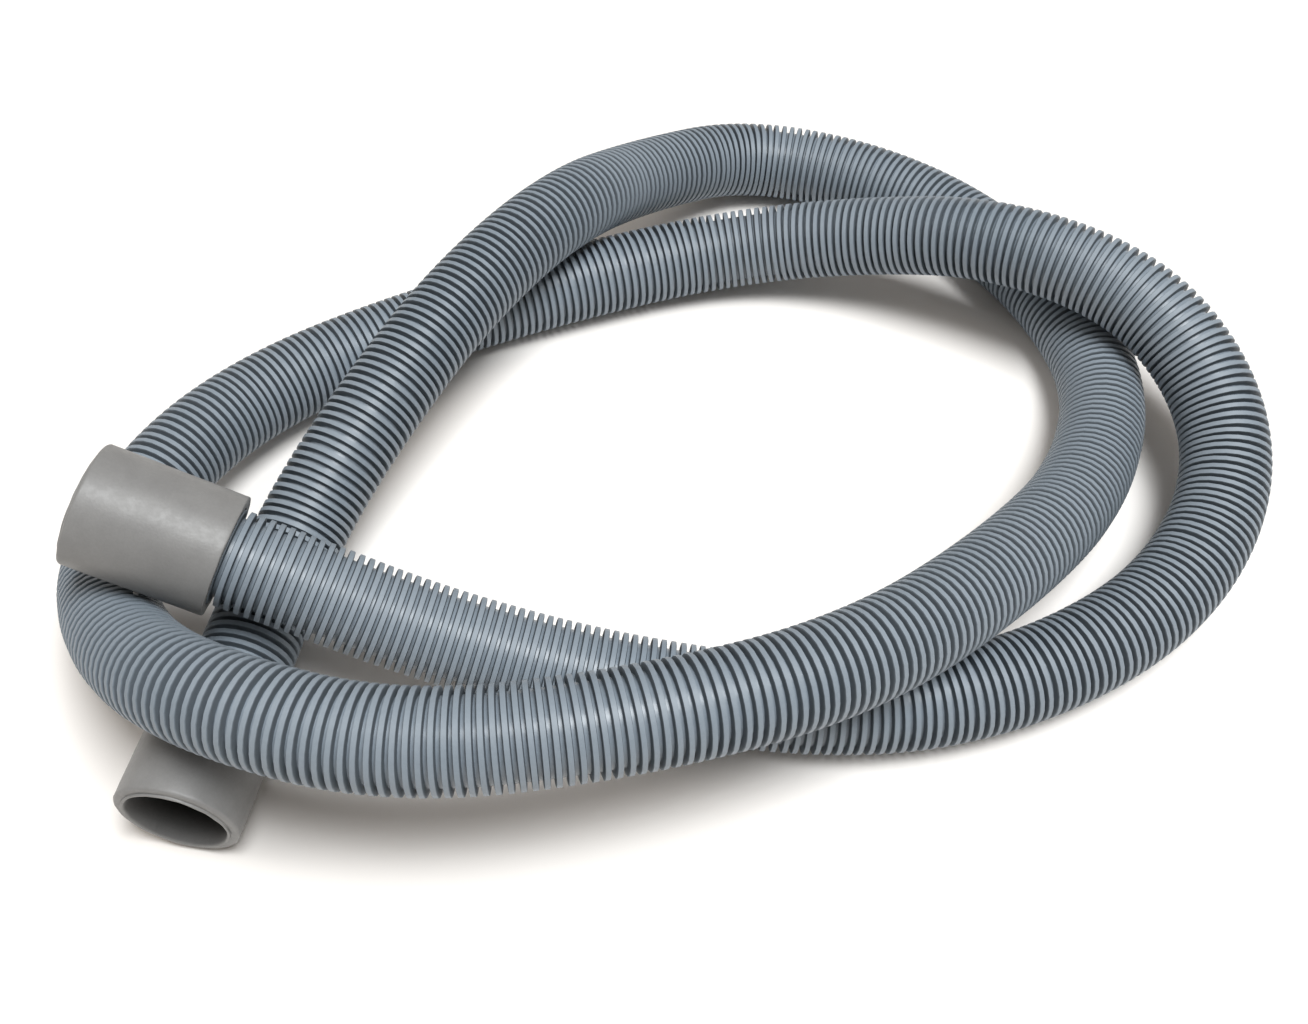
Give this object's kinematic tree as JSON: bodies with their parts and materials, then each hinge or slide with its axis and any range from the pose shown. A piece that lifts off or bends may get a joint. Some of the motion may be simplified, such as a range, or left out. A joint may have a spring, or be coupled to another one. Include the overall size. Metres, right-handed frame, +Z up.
{
  "type": "corrugated waste-water hose",
  "caption": "Corrugated blue-grey waste-water hose lying in loose overlapping loops, with a soft straight push-on cuff on each end.",
  "frame": {"origin": "centre of the bounding box's footprint, on the surface that the hose lies on", "axes": "+Z up, +X along the longest side of the loops, +Y away from the free mouth that lies on the surface"},
  "size_m": [0.3783, 0.3122, 0.0861],
  "materials": {
    "hose": "satin polypropylene",
    "cuff": "soft matte rubber"
  },
  "bodies": {
    "hose": {"hose_span_01": "hose", "hose_span_02": "hose", "hose_span_03": "hose", "hose_span_04": "hose", "hose_span_05": "hose", "hose_span_06": "hose", "hose_span_07": "hose", "hose_span_08": "hose", "hose_span_09": "hose", "hose_span_10": "hose", "hose_span_11": "hose", "hose_span_12": "hose", "hose_span_13": "hose", "hose_span_14": "hose", "hose_span_15": "hose", "hose_span_16": "hose", "hose_span_17": "hose", "hose_span_18": "hose", "hose_tail_a": "hose", "hose_tail_b": "hose"},
    "cuff_a": {"cuff_a": "cuff"},
    "cuff_b": {"cuff_b": "cuff"}
  },
  "joints": [
    {"name": "cuff_a_turn", "type": "hinge", "parent": "hose", "child": "cuff_a", "pos_m": [-0.1481, -0.0801, 0.0623], "axis": [-0.9089, 0.1704, 0.3806], "continuous": true},
    {"name": "cuff_b_turn", "type": "hinge", "parent": "hose", "child": "cuff_b", "pos_m": [-0.138, -0.1245, 0.0176], "axis": [-0.1824, -0.9832, 0], "continuous": true}
  ]
}
